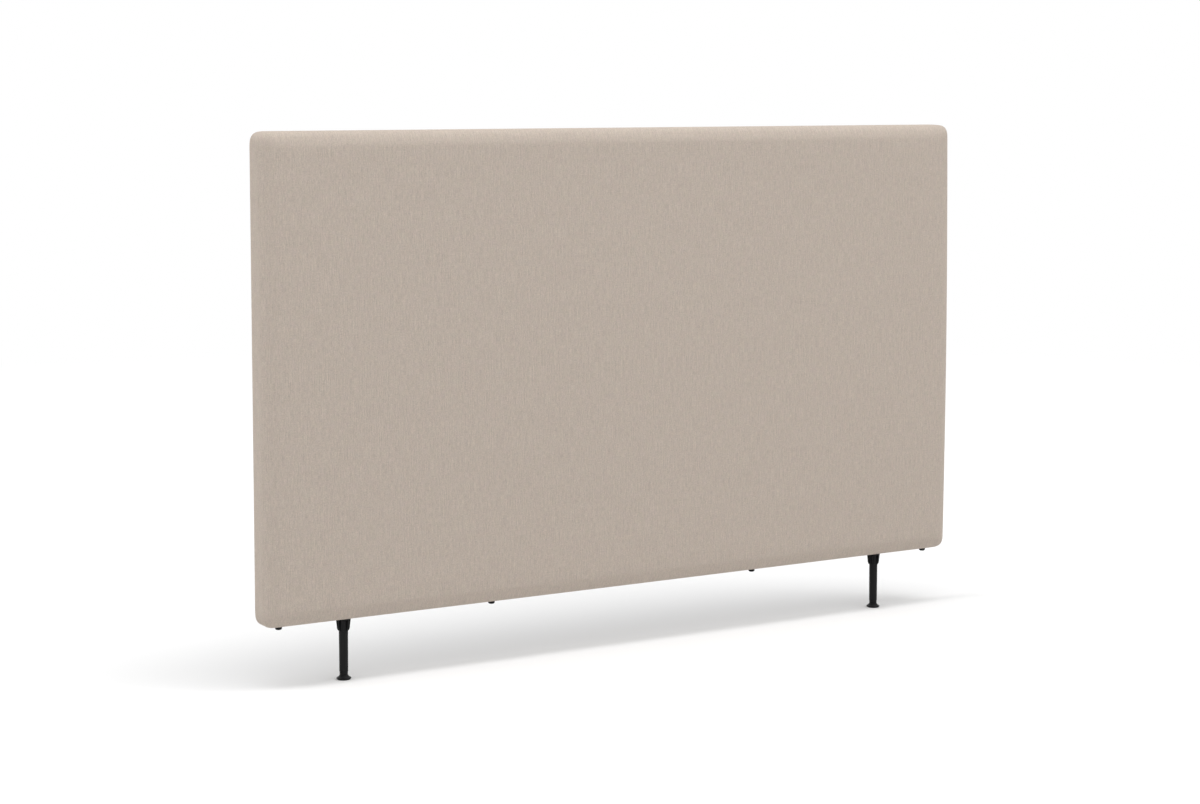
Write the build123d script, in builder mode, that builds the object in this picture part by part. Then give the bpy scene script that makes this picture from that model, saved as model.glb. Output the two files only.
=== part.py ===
from build123d import *
import os

# Upholstered headboard that stands on two moulded legs with levelling feet.
# The origin is on the floor under the middle of the headboard. X runs along its
# width, the front faces -Y and Z points up. All lengths are millimetres.

# Driving dimensions of the whole headboard
panel_width = 1800.0
panel_height = 1050.0
leg_height = 135.0  # floor to the underside of the panel
leg_inset = 195.0  # leg axis from the end of the panel

# Outer shape of the upholstery
corner_radius = 35.0  # corners seen from the front
front_edge_radius = 22.0  # between the front and the four sides
back_edge_chamfer = 3.5  # between the four sides and the back
height_crown = 7.0  # how far the front bows out over the height

# Layers, from the front to the back
cover_thickness = 1.2
wadding_thickness = 4.5
layer_gap = 0.3  # between soft layers, and between wadding and frame
foam_edge_thickness = 12.7  # at the corners, where the cover pulls the foam flat
foam_edge_chamfer = 9.4
board_thickness = 3.2
timber_depth = 38.0
lining_thickness = 0.8

# Timber frame
timber_width = 63.0
upright_spacing = 415.0
tenon_width = 40.0
tenon_thickness = 12.0
tenon_length = 25.0
tenon_end_room = 1.0  # glue room past the end of a tenon
hole_clearance = 0.1  # on every side, round tenons, studs, pins and sleeves

# Hem, lining and staples
hem_width = 45.0
hem_corner_radius = 12.0
lining_margin = 18.0  # edge of the lining from the edge of the panel
staple_crown = 12.0
staple_wire = 0.7
staple_wire_width = 1.2
staple_leg = 9.0
cover_staple_margin = 34.0
cover_staple_spacing = 180.0
lining_staple_margin = 25.0
lining_staple_spacing = 240.0
board_staple_margin = 30.0
board_staple_spacing = 330.0

# Moulded leg
leg_diameter = 20.0
leg_bore = 14.0
leg_plug = 34.0  # solid length at the top, which holds the stud
leg_flange_diameter = 33.0
leg_flange_thickness = 3.0
rib_count = 8
rib_thickness = 2.2
rib_top_reach = 16.0  # from the leg axis, just under the flange
rib_shoulder_reach = 14.2
rib_shoulder_drop = 18.0  # below the top of the leg
rib_foot_drop = 28.0  # where the rib runs into the tube

# Stud and sleeve between leg and frame
stud_diameter = 8.0
stud_length = 50.0
stud_grip = 22.0  # length of the stud inside the leg
stud_end_room = 1.0
insert_diameter = 12.0
insert_length = 25.0
cloth_cut_clearance = 1.0  # on every side, where a stud passes the cover and wadding

# Levelling foot
foot_gap = 0.3  # between leg end, collar and pad
foot_diameter = 32.0
foot_rim = 4.0
foot_height = 9.4
foot_neck_diameter = 19.0
foot_sole = 2.6  # left under the stud's head
collar_diameter = 18.6
collar_height = 7.0
collar_flat_count = 12
foot_nut_length = 16.0
foot_stud_reach = 28.0  # above the collar
head_diameter = 8.0  # lower end of the foot stud, held in the pad
head_height = 3.2
neck_diameter = 5.4

# Glides under the panel
glide_diameter = 15.0
glide_height = 9.5
glide_chamfer = 2.5
outer_glide_inset = 46.0  # from the end of the panel
inner_glide_inset = 553.0
pin_width = 2.2  # square steel pin
pin_length = 30.0
pin_grip = 6.5  # length of the pin inside the glide
pin_end_room = 1.0

overrun = 5.0  # how far a cut runs past what it cuts

# Depths of the layers, all from the sizes above
wadding_inset = cover_thickness + layer_gap
side_stack = wadding_inset + wadding_thickness + layer_gap
soft_depth = side_stack + foam_edge_thickness
back_stack = cover_thickness + lining_thickness
total_depth = soft_depth + board_thickness + timber_depth + back_stack + height_crown
front_apex_y = -total_depth / 2
lining_back_y = total_depth / 2
hem_back_y = lining_back_y - lining_thickness
timber_back_y = hem_back_y - cover_thickness
timber_mid_y = timber_back_y - timber_depth / 2
timber_front_y = timber_back_y - timber_depth
board_front_y = timber_front_y - board_thickness

# Heights and widths of the panel and its frame
panel_mid_z = leg_height + panel_height / 2
panel_top_z = leg_height + panel_height
frame_width = panel_width - 2 * side_stack
frame_height = panel_height - 2 * side_stack
frame_corner_radius = corner_radius - side_stack
frame_bottom_z = leg_height + side_stack
frame_top_z = frame_bottom_z + frame_height
post_bottom_z = frame_bottom_z + timber_width
post_top_z = frame_top_z - timber_width
stile_x = frame_width / 2 - timber_width / 2
sides = {"left": -1, "right": 1}
post_x = {
    "stile_left": -stile_x,
    "upright_left": -upright_spacing,
    "upright_centre": 0,
    "upright_right": upright_spacing,
    "stile_right": stile_x,
}

# Places of the fittings along the panel
leg_x = panel_width / 2 - leg_inset
glide_x = (panel_width / 2 - outer_glide_inset, panel_width / 2 - inner_glide_inset)
leg_places = [(side * leg_x, timber_mid_y) for side in sides.values()]
glide_places = [(side * x, timber_mid_y) for side in sides.values() for x in glide_x]
glide_bottom_z = leg_height - glide_height
pin_bottom_z = leg_height - pin_grip
pin_top_z = pin_bottom_z + pin_length
collar_bottom_z = foot_height + foot_gap
collar_top_z = collar_bottom_z + collar_height
leg_end_z = collar_top_z + foot_gap
head_top_z = foot_sole + head_height

# Holes that pieces share
stud_hole_radius = stud_diameter / 2 + hole_clearance
pin_hole_width = pin_width + 2 * hole_clearance
cloth_cut_width = stud_diameter + 2 * cloth_cut_clearance

os.makedirs("parts", exist_ok=True)


def crowned_form(inset, back_y):
    """The upholstery's outer shape with sharp edges, smaller by inset on every side."""
    crest_y = front_apex_y + inset
    edge_y = crest_y + height_crown
    with BuildPart() as form:
        with BuildSketch(Plane.XZ.offset(-back_y)):
            with Locations((0, panel_mid_z)):
                RectangleRounded(panel_width - 2 * inset, panel_height - 2 * inset, corner_radius - inset)
        extrude(amount=total_depth + overrun)
        with BuildSketch(Plane.YZ):
            with BuildLine():
                bow = ThreePointArc((edge_y, leg_height), (crest_y, panel_mid_z), (edge_y, panel_top_z))
                Polyline(bow @ 1, (total_depth, panel_top_z), (total_depth, leg_height), bow @ 0)
            make_face()
        extrude(amount=panel_width, both=True, mode=Mode.INTERSECT)
    return form.part


def front_edges(form):
    """The edges between the front and the four sides."""
    return form.faces().sort_by(Axis.Y)[0].edges()


def back_edges(form):
    """The edges between the four sides and the back."""
    return form.faces().sort_by(Axis.Y)[-1].edges()


def staple():
    """One staple with its crown flush with the XY plane and its legs pointing down."""
    with BuildPart() as wire:
        with BuildSketch(Plane.XZ.offset(-staple_wire_width / 2)):
            Rectangle(staple_crown, staple_leg, align=(Align.CENTER, Align.MAX))
            with Locations((0, -staple_wire)):
                Rectangle(
                    staple_crown - 2 * staple_wire,
                    staple_leg,
                    align=(Align.CENTER, Align.MAX),
                    mode=Mode.SUBTRACT,
                )
        extrude(amount=staple_wire_width)
    return wire.part


def staple_ring(surface, margin, spacing):
    """Staples in rows along all four sides of the panel, flush with a surface plane."""
    row_count = int((panel_width - 2 * hem_width) // spacing)
    column_count = int((panel_height - 2 * hem_width - 2 * corner_radius) // spacing)
    wire = staple()
    with BuildPart() as ring:
        with Locations(surface):
            with GridLocations(spacing, panel_height - 2 * margin, row_count, 2):
                add(wire)
            with GridLocations(panel_width - 2 * margin, spacing, 2, column_count):
                add(wire, rotation=(0, 0, 90))
    return ring.part


def finish(piece, name):
    """Label a finished piece and write its file."""
    piece.part.label = name
    export_step(piece.part, f"parts/{name}.step")


# Rails: full-width timbers with the frame's outer corners rounded off. Mortises in
# the inner edge take the tenons of the five posts. The bottom rail is also bored for
# the leg sleeves and pierced for the glide pins.
for name, outer_z, inner_z in (
    ("top", frame_top_z, post_top_z),
    ("bottom", frame_bottom_z, post_bottom_z),
):
    with BuildPart() as rail:
        with BuildSketch(Plane.XZ.offset(-timber_back_y)):
            with Locations((0, panel_mid_z)):
                RectangleRounded(frame_width, frame_height, frame_corner_radius)
            with Locations((0, (outer_z + inner_z) / 2)):
                Rectangle(frame_width, timber_width, mode=Mode.INTERSECT)
        extrude(amount=timber_depth)
        with BuildSketch(Plane.XY.offset(inner_z)):
            with Locations(*[(x, timber_mid_y) for x in post_x.values()]):
                Rectangle(tenon_width + 2 * hole_clearance, tenon_thickness + 2 * hole_clearance)
        extrude(amount=tenon_length + tenon_end_room, both=True, mode=Mode.SUBTRACT)
        if name == "bottom":
            with Locations(*[(x, y, outer_z) for x, y in leg_places]):
                Hole(insert_diameter / 2 + hole_clearance, depth=insert_length)
            with BuildSketch(Plane.XY.offset(outer_z)):
                with Locations(*glide_places):
                    Rectangle(pin_hole_width, pin_hole_width)
            extrude(amount=pin_top_z + pin_end_room - outer_z, mode=Mode.SUBTRACT)
    finish(rail, f"frame_{name}_rail")

# Posts: two stiles and three uprights between the rails, with a tenon at each end.
for name, x in post_x.items():
    with BuildPart() as post:
        with BuildSketch(Plane.XY.offset(post_bottom_z)):
            with Locations((x, timber_mid_y)):
                Rectangle(timber_width, timber_depth)
        extrude(amount=post_top_z - post_bottom_z)
        with BuildSketch(Plane.XY.offset(post_bottom_z - tenon_length)):
            with Locations((x, timber_mid_y)):
                Rectangle(tenon_width, tenon_thickness)
        extrude(amount=post_top_z - post_bottom_z + 2 * tenon_length)
    finish(post, f"frame_{name}")

# Front board: one thin sheet over the whole frame, which carries the foam.
with BuildPart() as front_board:
    with BuildSketch(Plane.XZ.offset(-timber_front_y)):
        with Locations((0, panel_mid_z)):
            RectangleRounded(frame_width, frame_height, frame_corner_radius)
    extrude(amount=board_thickness)
finish(front_board, "front_board")

# Board staples: round the edge and down each upright, from the front.
board_surface = Plane(origin=(0, board_front_y, panel_mid_z), x_dir=(1, 0, 0), z_dir=(0, -1, 0))
board_ring = staple_ring(board_surface, board_staple_margin, board_staple_spacing)
upright_staple = staple()
upright_staple_count = int((post_top_z - post_bottom_z) // board_staple_spacing)
with BuildPart() as board_staples:
    add(board_ring)
    with Locations(board_surface):
        with GridLocations(upright_spacing, board_staple_spacing, 3, upright_staple_count):
            add(upright_staple, rotation=(0, 0, 90))
finish(board_staples, "board_staples")

# Cuts through the underside of cover and wadding, where studs and pins pass.
with BuildPart() as underside_cuts:
    with BuildSketch(Plane.XY.offset(leg_height - overrun)):
        with Locations(*leg_places):
            Rectangle(cloth_cut_width, cloth_cut_width)
        with Locations(*glide_places):
            Rectangle(pin_hole_width, pin_hole_width)
    extrude(amount=side_stack + overrun)
cloth_cuts = underside_cuts.part

# Foam pad: thickest across the middle of the panel, pulled thinner at top and bottom.
foam_form = crowned_form(side_stack, board_front_y)
with BuildPart() as foam_pad:
    add(foam_form)
    chamfer(front_edges(foam_pad), foam_edge_chamfer)
finish(foam_pad, "foam_pad")

# Wadding: a layer over the foam, wrapped round the sides to the back of the frame.
wadding_form = crowned_form(wadding_inset, timber_back_y)
filling_form = crowned_form(wadding_inset + wadding_thickness, timber_back_y + overrun)
with BuildPart() as filling_room:
    add(filling_form)
    chamfer(front_edges(filling_room), foam_edge_chamfer)
with BuildPart() as wadding:
    add(wadding_form)
    fillet(front_edges(wadding), front_edge_radius - wadding_inset)
    chamfer(back_edges(wadding), back_edge_chamfer)
    add(filling_room.part, mode=Mode.SUBTRACT)
    add(cloth_cuts, mode=Mode.SUBTRACT)
finish(wadding, "wadding")

# Fabric cover: a closed skin over front and sides, with its hem turned onto the back.
cover_form = crowned_form(0, hem_back_y)
lined_form = crowned_form(cover_thickness, timber_back_y)
with BuildPart() as cover_room:
    add(lined_form)
    fillet(front_edges(cover_room), front_edge_radius - cover_thickness)
    chamfer(back_edges(cover_room), back_edge_chamfer - layer_gap)
with BuildPart() as fabric_cover:
    add(cover_form)
    fillet(front_edges(fabric_cover), front_edge_radius)
    chamfer(back_edges(fabric_cover), back_edge_chamfer)
    add(cover_room.part, mode=Mode.SUBTRACT)
    with BuildSketch(Plane.XZ.offset(-hem_back_y - overrun)):
        with Locations((0, panel_mid_z)):
            RectangleRounded(panel_width - 2 * hem_width, panel_height - 2 * hem_width, hem_corner_radius)
    extrude(amount=overrun + 2 * cover_thickness, mode=Mode.SUBTRACT)
    add(cloth_cuts, mode=Mode.SUBTRACT)
finish(fabric_cover, "fabric_cover")

# Cover staples: through the hem into the timber.
hem_surface = Plane(origin=(0, hem_back_y, panel_mid_z), x_dir=(1, 0, 0), z_dir=(0, 1, 0))
cover_ring = staple_ring(hem_surface, cover_staple_margin, cover_staple_spacing)
with BuildPart() as cover_staples:
    add(cover_ring)
finish(cover_staples, "cover_staples")

# Back lining: one flat cloth that closes the back and lies on the hem.
with BuildPart() as back_lining:
    with BuildSketch(Plane.XZ.offset(-lining_back_y)):
        with Locations((0, panel_mid_z)):
            RectangleRounded(
                panel_width - 2 * lining_margin,
                panel_height - 2 * lining_margin,
                corner_radius - lining_margin,
            )
    extrude(amount=lining_thickness)
finish(back_lining, "back_lining")

# Lining staples: through lining and hem into the timber.
lining_surface = Plane(origin=(0, lining_back_y, panel_mid_z), x_dir=(1, 0, 0), z_dir=(0, 1, 0))
lining_ring = staple_ring(lining_surface, lining_staple_margin, lining_staple_spacing)
with BuildPart() as lining_staples:
    add(lining_ring)
finish(lining_staples, "lining_staples")

# One rib of a leg collar, below the top of the leg at the origin: nearly straight
# down from the flange, then curved in to meet the tube.
with BuildPart() as collar_rib:
    with BuildSketch(Plane.XZ):
        with BuildLine():
            flank = Line(
                (rib_top_reach, -leg_flange_thickness), (rib_shoulder_reach, -rib_shoulder_drop)
            )
            heel = TangentArc(flank @ 1, (leg_diameter / 2, -rib_foot_drop), tangent=flank % 1)
            Polyline(
                heel @ 1,
                (leg_bore / 2, -rib_foot_drop),
                (leg_bore / 2, -leg_flange_thickness),
                flank @ 0,
            )
        make_face()
    extrude(amount=rib_thickness / 2, both=True)
rib = collar_rib.part

for name, side in sides.items():
    axis_x = side * leg_x
    leg_axis = Axis((axis_x, timber_mid_y, 0), (0, 0, 1))
    half_plane = Plane(origin=(axis_x, timber_mid_y, 0), x_dir=(1, 0, 0), z_dir=(0, -1, 0))

    # Leg: a moulded tube with a flange and ribs under the panel.
    with BuildPart() as leg:
        with BuildSketch(half_plane):
            with BuildLine():
                Polyline(
                    (0, leg_end_z),
                    (leg_diameter / 2, leg_end_z),
                    (leg_diameter / 2, leg_height - leg_flange_thickness),
                    (leg_flange_diameter / 2, leg_height - leg_flange_thickness),
                    (leg_flange_diameter / 2, leg_height),
                    (0, leg_height),
                    close=True,
                )
            make_face()
        revolve(axis=leg_axis)
        with Locations((axis_x, timber_mid_y, leg_height)):
            with PolarLocations(0, rib_count):
                add(rib)
        with Locations((axis_x, timber_mid_y, leg_end_z)):
            Hole(leg_bore / 2, depth=leg_height - leg_plug - leg_end_z)
        with Locations((axis_x, timber_mid_y, leg_height)):
            Hole(stud_hole_radius, depth=stud_grip + stud_end_room)
    finish(leg, f"leg_{name}")

    # Foot stud: a straight shank, a narrow neck and a head that turns in the pad.
    with BuildPart() as foot_stud:
        for radius, bottom_z, top_z in (
            (head_diameter / 2, foot_sole, head_top_z),
            (neck_diameter / 2, head_top_z, collar_bottom_z),
            (stud_diameter / 2, collar_bottom_z, collar_top_z + foot_stud_reach),
        ):
            with BuildSketch(Plane.XY.offset(bottom_z)):
                with Locations((axis_x, timber_mid_y)):
                    Circle(radius)
            extrude(amount=top_z - bottom_z)
    finish(foot_stud, f"foot_stud_{name}")

    # Foot collar: a ring with flats, fixed on the stud, by which the foot is turned.
    with BuildPart() as foot_collar:
        with BuildSketch(Plane.XY.offset(collar_bottom_z)):
            with Locations((axis_x, timber_mid_y)):
                RegularPolygon(collar_diameter / 2, collar_flat_count)
                Circle(stud_hole_radius, mode=Mode.SUBTRACT)
        extrude(amount=collar_height)
    finish(foot_collar, f"foot_collar_{name}")

    # Foot pad: a flanged foot with a sloping top and a socket that holds the stud's head.
    with BuildPart() as foot_pad:
        with BuildSketch(half_plane):
            with BuildLine():
                Polyline(
                    (0, 0),
                    (foot_diameter / 2, 0),
                    (foot_diameter / 2, foot_rim),
                    (foot_neck_diameter / 2, foot_height),
                    (0, foot_height),
                    close=True,
                )
            make_face()
        revolve(axis=leg_axis)
        for radius, bottom_z, top_z in (
            (head_diameter / 2, foot_sole - foot_gap, head_top_z + hole_clearance),
            (neck_diameter / 2, head_top_z, foot_height + overrun),
        ):
            with BuildSketch(Plane.XY.offset(bottom_z)):
                with Locations((axis_x, timber_mid_y)):
                    Circle(radius + hole_clearance)
            extrude(amount=top_z - bottom_z, mode=Mode.SUBTRACT)
    finish(foot_pad, f"foot_pad_{name}")

# Leg studs: join each leg to its sleeve in the bottom rail.
with BuildPart() as leg_studs:
    with BuildSketch(Plane.XY.offset(leg_height - stud_grip)):
        with Locations(*leg_places):
            Circle(stud_diameter / 2)
    extrude(amount=stud_length)
finish(leg_studs, "leg_studs")

# Leg inserts: sleeves driven flush into the underside of the bottom rail.
with BuildPart() as leg_inserts:
    with BuildSketch(Plane.XY.offset(frame_bottom_z)):
        with Locations(*leg_places):
            Circle(insert_diameter / 2)
            Circle(stud_hole_radius, mode=Mode.SUBTRACT)
    extrude(amount=insert_length)
finish(leg_inserts, "leg_inserts")

# Foot nuts: sleeves in the lower ends of the legs' bores.
with BuildPart() as foot_nuts:
    with BuildSketch(Plane.XY.offset(leg_end_z)):
        with Locations(*leg_places):
            Circle(leg_bore / 2 - hole_clearance)
            Circle(stud_hole_radius, mode=Mode.SUBTRACT)
    extrude(amount=foot_nut_length)
finish(foot_nuts, "foot_nuts")

# Glides: four buttons with chamfered lower edges against the underside of the cover.
with BuildPart() as glides:
    with BuildSketch(Plane.XY.offset(glide_bottom_z)):
        with Locations(*glide_places):
            Circle(glide_diameter / 2)
    extrude(amount=glide_height)
    chamfer(glides.edges().group_by(Axis.Z)[0], glide_chamfer)
    with BuildSketch(Plane.XY.offset(pin_bottom_z)):
        with Locations(*glide_places):
            Rectangle(pin_hole_width, pin_hole_width)
    extrude(amount=pin_grip + overrun, mode=Mode.SUBTRACT)
finish(glides, "glides")

# Glide pins: up from each glide through cover and wadding into the bottom rail.
with BuildPart() as glide_pins:
    with BuildSketch(Plane.XY.offset(pin_bottom_z)):
        with Locations(*glide_places):
            Rectangle(pin_width, pin_width)
    extrude(amount=pin_length)
finish(glide_pins, "glide_pins")
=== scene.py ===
# %% [markdown]
# This lesson dresses an upholstered headboard. Its hard parts come from the CAD
# model, which is loaded first and never moved. The soft layers, the moulded legs
# and the small plastic pieces are modelled here, and every surface gets a
# material built from nodes.

# %% Load the frame
import math

import bpy
import numpy as np
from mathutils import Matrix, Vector


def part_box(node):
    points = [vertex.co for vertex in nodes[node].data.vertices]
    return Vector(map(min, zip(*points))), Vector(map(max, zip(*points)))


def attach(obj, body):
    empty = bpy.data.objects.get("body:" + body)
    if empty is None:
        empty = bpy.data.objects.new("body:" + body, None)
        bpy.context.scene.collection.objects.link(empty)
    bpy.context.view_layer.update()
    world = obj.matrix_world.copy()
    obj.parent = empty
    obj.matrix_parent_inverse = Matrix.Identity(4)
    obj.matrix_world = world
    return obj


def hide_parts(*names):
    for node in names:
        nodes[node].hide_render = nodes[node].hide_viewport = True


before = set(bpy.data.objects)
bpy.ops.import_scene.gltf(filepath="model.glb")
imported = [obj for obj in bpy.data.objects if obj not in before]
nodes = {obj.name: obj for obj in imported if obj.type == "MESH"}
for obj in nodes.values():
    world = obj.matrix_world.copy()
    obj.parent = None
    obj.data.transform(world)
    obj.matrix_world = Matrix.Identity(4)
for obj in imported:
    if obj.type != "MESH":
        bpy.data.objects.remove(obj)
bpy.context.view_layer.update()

MM = 0.001

# %% [markdown]
# The pieces take their places from the CAD nodes they stand for. Reading the boxes
# of those nodes keeps one source for every size, so a change in the CAD carries
# through to the looks.

# %% Places read from the CAD
cover_low, cover_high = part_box("fabric_cover")
lining_low, lining_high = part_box("back_lining")
foam_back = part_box("foam_pad")[1].y
panel_width = cover_high.x - cover_low.x
panel_height = cover_high.z - cover_low.z
panel_mid_z = (cover_high.z + cover_low.z) / 2
underside_z = cover_low.z
leg_box = {side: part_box(f"leg_{side}") for side in ("left", "right")}
leg_x = {side: (low.x + high.x) / 2 for side, (low, high) in leg_box.items()}
leg_y = (leg_box["left"][0].y + leg_box["left"][1].y) / 2
print("panel", round(panel_width, 3), "x", round(panel_height, 3), "legs at", leg_x)


# %% [markdown]
# An operator in Blender works on everything that is selected, and the CAD nodes
# come in selected. These helpers clear the selection before a new piece is made,
# pick vertices by their place, and leave a finished piece at the origin.

# %% Helpers for modelling
def start_fresh():
    if bpy.context.object and bpy.context.object.mode != "OBJECT":
        bpy.ops.object.mode_set(mode="OBJECT")
    bpy.ops.object.select_all(action="DESELECT")


def only(piece):
    start_fresh()
    piece.select_set(True)
    bpy.context.view_layer.objects.active = piece


def duplicate(piece, name):
    """A copy of a piece with a mesh of its own."""
    twin = piece.copy()
    twin.data = piece.data.copy()
    twin.name = twin.data.name = name
    bpy.context.scene.collection.objects.link(twin)
    return twin


def named(name):
    piece = bpy.context.object
    piece.name = name
    piece.data.name = name
    return piece


def settle(piece):
    """Applies place, turn and size, so the object rests at the origin."""
    only(piece)
    bpy.ops.object.transform_apply(location=True, rotation=True, scale=True)
    return piece


def read_points(piece):
    points = np.empty(len(piece.data.vertices) * 3)
    piece.data.vertices.foreach_get("co", points)
    return points.reshape(-1, 3)


def write_points(piece, points):
    piece.data.vertices.foreach_set("co", np.ascontiguousarray(points, float).ravel())
    piece.data.update()


def point_normals(piece):
    normals = np.empty(len(piece.data.vertices) * 3)
    piece.data.vertex_normals.foreach_get("vector", normals)
    return normals.reshape(-1, 3).round(5)  # without the noise of the last digits


def apply_modifier(piece, kind, **values):
    only(piece)
    modifier = piece.modifiers.new(kind.title(), kind)
    for key, value in values.items():
        setattr(modifier, key, value)
    bpy.ops.object.modifier_apply(modifier=modifier.name)
    return piece


def tidy_normals(piece):
    only(piece)
    bpy.ops.object.mode_set(mode="EDIT")
    bpy.ops.mesh.select_all(action="SELECT")
    bpy.ops.mesh.remove_doubles(threshold=0.00001)
    bpy.ops.mesh.normals_make_consistent(inside=False)
    bpy.ops.object.mode_set(mode="OBJECT")
    return piece


# %% [markdown]
# The cover is one cloth pulled over the front and folded round the four sides to
# the back. It is made the same way: a flat grid as large as the front, whose border
# is extruded back in steps for the sides and then inwards for the hem. A bevelled
# box has the same outline, but a folded sheet keeps its rows where the cloth runs.
# They lie closer together near the border, because the rounded edges need them.

# %% The flat sheet and its folded border
corner_radius = 35 * MM
front_radius = 22 * MM  # how far back the soft front edge reaches on the side
front_reach = 34 * MM  # and how far in on the front
back_radius = 4 * MM
squareness = 3.2  # the stuffed corner is fuller than an arc, for which this is 2
height_crown = 7 * MM
width_crown = 3 * MM
hem_width = 45 * MM
hem_corner_radius = 12 * MM  # of the hem's inner edge
cells_across, cells_up, border_cells = 150, 88, 10
edge_y = cover_low.y + height_crown
side_depth = cover_high.y - edge_y


def spaced(half, cells):
    """Positions along one side of the sheet, closer together near both ends."""
    border = corner_radius
    inner = np.linspace(border - half, half - border, cells - 2 * border_cells + 1)
    outer = np.linspace(half - border, half, border_cells + 1)[1:]
    return np.concatenate([-outer[::-1], inner, outer])


columns = spaced(panel_width / 2, cells_across)
rows = spaced(panel_height / 2, cells_up)

start_fresh()
bpy.ops.mesh.primitive_grid_add(
    x_subdivisions=cells_across, y_subdivisions=cells_up, size=2,
    location=(0, edge_y, panel_mid_z), rotation=(math.pi / 2, 0, 0))
cover = settle(named("cover"))
flat = read_points(cover)
flat[:, 0] = columns[np.rint((flat[:, 0] + 1) * cells_across / 2).astype(int)]
flat[:, 2] = rows[np.rint((flat[:, 2] - panel_mid_z + 1) * cells_up / 2).astype(int)] + panel_mid_z
write_points(cover, flat)
front_count = len(flat)
print("front sheet:", front_count, "points")

# %% [markdown]
# Each extrusion adds one ring of cloth. The ring's depth behind the front edge and
# its inset on the back are kept in a table, and the box that comes out is rounded
# in the next step.

# %% Extrude the sides and the hem
side_steps = np.concatenate([
    np.linspace(0, front_radius, 7)[1:],
    np.linspace(front_radius, side_depth - back_radius, 5)[1:],
    np.linspace(side_depth - back_radius, side_depth, 3)[1:],
])
hem_steps = np.concatenate([
    np.linspace(0, back_radius, 3)[1:],
    np.linspace(back_radius, hem_width, 6)[1:],
])
only(cover)
bpy.ops.object.mode_set(mode="EDIT")
bpy.ops.mesh.select_mode(type="EDGE")
bpy.ops.mesh.select_all(action="DESELECT")
bpy.ops.mesh.select_non_manifold(extend=False, use_boundary=True)
for _ in range(len(side_steps) + len(hem_steps)):
    bpy.ops.mesh.extrude_edges_move(TRANSFORM_OT_translate={"value": (0, 1 * MM, 0)})
bpy.ops.object.mode_set(mode="OBJECT")
boxed = read_points(cover)
ring_size = (len(boxed) - front_count) // (len(side_steps) + len(hem_steps))
print("rings:", len(side_steps), "for the sides and", len(hem_steps), "for the hem, each", ring_size)


# %% [markdown]
# The box is pulled into its padded shape point by point. In the plane of the wall
# the square corners are turned into round ones. Across the edge the sharp fold
# becomes a quarter circle, a wide one at the front and a tight one at the back. A
# bevel rounds every edge alike, so the places are worked out instead. The front
# swells a little towards its middle, as stretched upholstery does.

# %% Round the corners and the edges
def round_corner(x, z, inset, radius):
    """Moves points on the square outline to one with round corners, inset by a given amount."""
    half_x = panel_width / 2 - corner_radius
    half_z = panel_height / 2 - corner_radius
    past_x = np.maximum(np.abs(x) - half_x, 0)
    past_z = np.maximum(np.abs(z) - half_z, 0)
    reach = np.maximum((past_x ** squareness + past_z ** squareness) ** (1 / squareness), 1e-9)
    core_x = panel_width / 2 - inset - radius
    core_z = panel_height / 2 - inset - radius
    new_x = np.sign(x) * (np.minimum(np.abs(x), half_x) * core_x / half_x + radius * past_x / reach)
    new_z = np.sign(z) * (np.minimum(np.abs(z), half_z) * core_z / half_z + radius * past_z / reach)
    return new_x, new_z


ring_index = np.repeat(np.arange(len(side_steps) + len(hem_steps)), ring_size)
x, z = boxed[:, 0].copy(), boxed[:, 2] - panel_mid_z
depth = np.zeros(len(boxed))
inset = np.zeros(len(boxed))
radius = np.full(len(boxed), corner_radius)

# On the front the distance to the outline is found first, square to the nearer side.
front = np.arange(len(boxed)) < front_count
past_x = np.maximum(np.abs(x) - panel_width / 2 + corner_radius, 0)
past_z = np.maximum(np.abs(z) - panel_height / 2 + corner_radius, 0)
edge_distance = corner_radius - np.maximum(past_x, past_z)
near_edge = front & (edge_distance < corner_radius)
fold = np.clip(1 - edge_distance / front_reach, 0, 1) * math.pi / 4
inset[near_edge] = np.where(
    fold > 0, front_reach * (1 - np.sin(fold)), edge_distance)[near_edge]
depth[near_edge] = (front_radius * (1 - np.cos(fold)))[near_edge]
radius[near_edge] = corner_radius - inset[near_edge]
round_x, round_z = round_corner(x, z, inset, radius)
x[near_edge], z[near_edge] = round_x[near_edge], round_z[near_edge]

# The rings follow the same quarter circle, then the flat side and the back fold.
side_fold = math.pi / 4 * (1 + np.clip(side_steps / front_radius, 0, 1))
back_fold = math.pi / 4 * np.clip((side_steps - side_depth + back_radius) / back_radius, 0, 1)
side_inset = front_reach * (1 - np.sin(side_fold)) + back_radius * (1 - np.cos(back_fold))
side_y = np.where(side_steps < front_radius, front_radius * (1 - np.cos(side_fold)), side_steps)
side_y = np.where(back_fold > 0, side_depth - back_radius * (1 - np.sin(back_fold)), side_y)
hem_fold = math.pi / 4 * (1 + np.clip(hem_steps / back_radius, 0, 1))
hem_inset = np.where(hem_steps <= back_radius, back_radius * (1 - np.cos(hem_fold)), hem_steps)
hem_y = side_depth - back_radius * (1 - np.sin(hem_fold))
ring_inset = np.concatenate([side_inset, hem_inset])
ring_y = np.concatenate([side_y, hem_y])
ring_radius = np.where(
    np.arange(len(ring_inset)) < len(side_steps), corner_radius - ring_inset,
    corner_radius + (hem_corner_radius - corner_radius) * ring_inset / hem_width)
rings = ~front
inset[rings], depth[rings] = ring_inset[ring_index], ring_y[ring_index]
radius[rings] = ring_radius[ring_index]
round_x, round_z = round_corner(x, z, inset, radius)
x[rings], z[rings] = round_x[rings], round_z[rings]

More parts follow.
